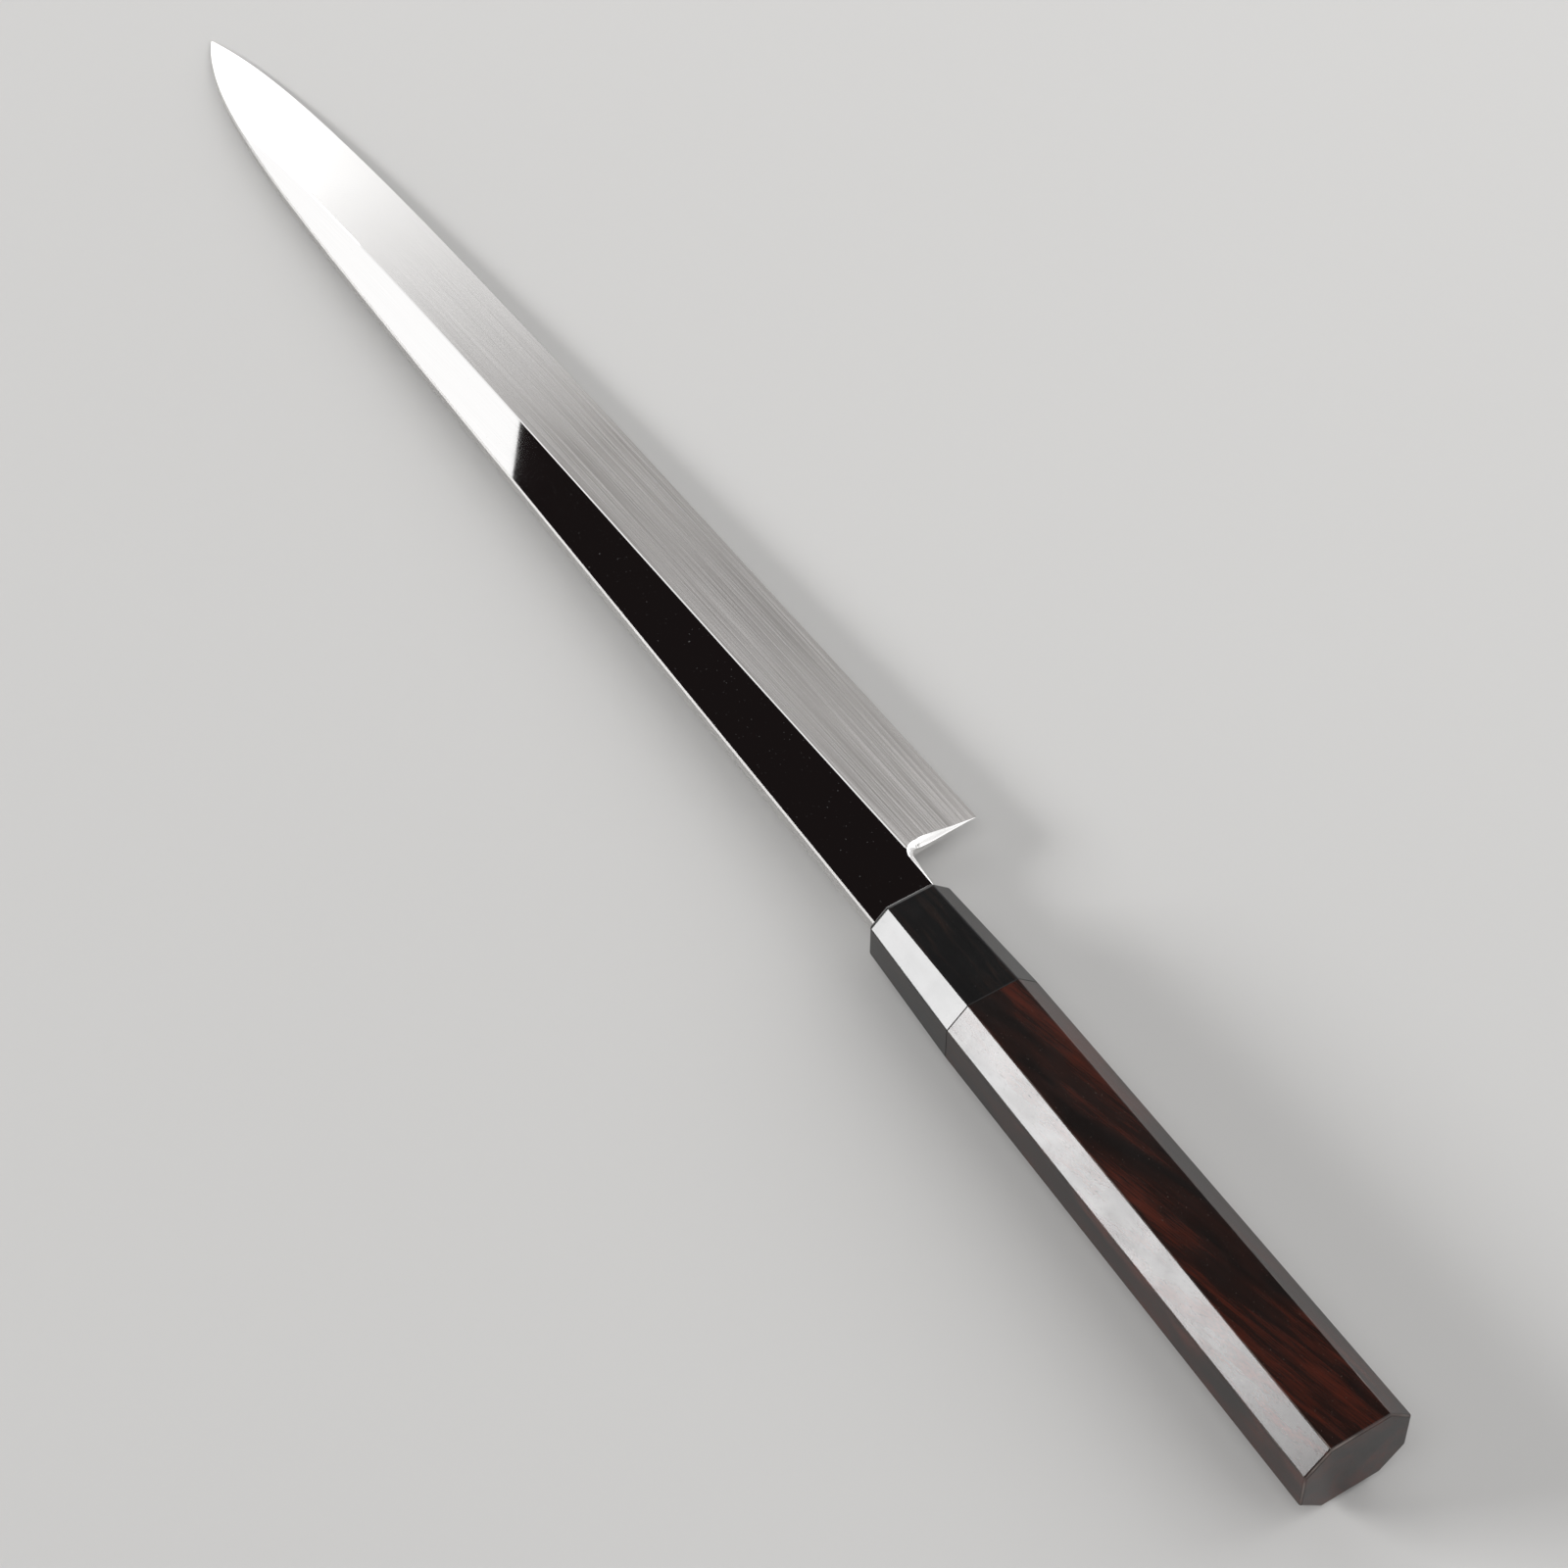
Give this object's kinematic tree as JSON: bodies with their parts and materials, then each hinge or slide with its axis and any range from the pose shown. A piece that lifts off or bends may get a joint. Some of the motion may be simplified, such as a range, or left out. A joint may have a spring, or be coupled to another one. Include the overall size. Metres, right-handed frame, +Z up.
{
  "type": "slicing knife",
  "caption": "Long slim single-bevel slicing knife with a hollow-ground back, a hidden tang, a dark octagonal wooden handle and a black horn ferrule, lying on its side.",
  "frame": {"origin": "on the table, under the middle of the bounding box", "axes": "+X along the knife from the butt of the handle to the tip, +Y from the cutting edge towards the spine, +Z up out of the bevelled face"},
  "size_m": [0.458, 0.0396, 0.0224],
  "materials": {
    "blade": "mirror-polished flat, satin bevel and back",
    "ferrule": "polished black horn",
    "handle_body": "oiled and buffed dark rosewood",
    "core_dowel": "plain, unfinished",
    "tang_bedding": "set resin",
    "slot_seal": "dark set resin"
  },
  "bodies": {
    "root": {"blade": "blade", "ferrule": "ferrule", "handle_body": "handle_body", "core_dowel": "core_dowel", "tang_bedding": "tang_bedding", "slot_seal": "slot_seal"}
  },
  "joints": []
}
